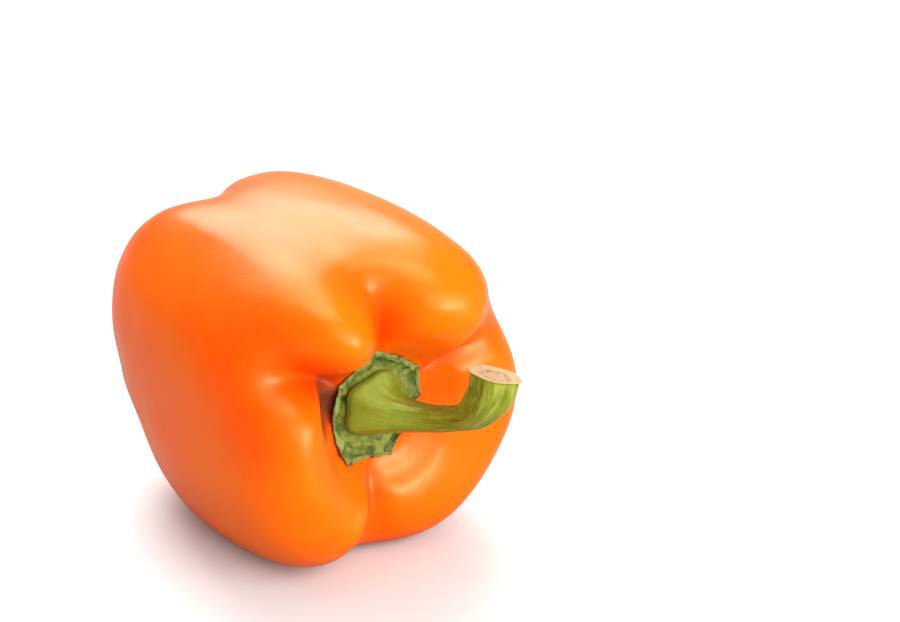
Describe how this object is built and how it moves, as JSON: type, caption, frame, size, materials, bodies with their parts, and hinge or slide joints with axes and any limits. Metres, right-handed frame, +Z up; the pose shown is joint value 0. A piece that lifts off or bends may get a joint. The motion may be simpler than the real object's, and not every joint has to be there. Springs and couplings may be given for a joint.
{
  "type": "bell pepper",
  "caption": "Blocky orange bell pepper lying on its side, a fresh vegetable with a green calyx sunk in its stem end and a short hooked stem with a cut end.",
  "frame": {"origin": "on the surface that the pepper lies on, under the middle of its bounding box", "axes": "+X along the fruit's axis from the blossom end to the stem, +Z up from the surface that it lies on, +Y to the left looking along +X"},
  "size_m": [0.1012, 0.0778, 0.0742],
  "materials": {
    "fruit_skin": "glossy waxy skin",
    "calyx_green": "mottled matte leaf",
    "stem_green": "satin green stalk with a cream cut end"
  },
  "bodies": {
    "root": {"fruit": "fruit_skin", "calyx": "calyx_green", "stem": "stem_green"}
  },
  "joints": []
}
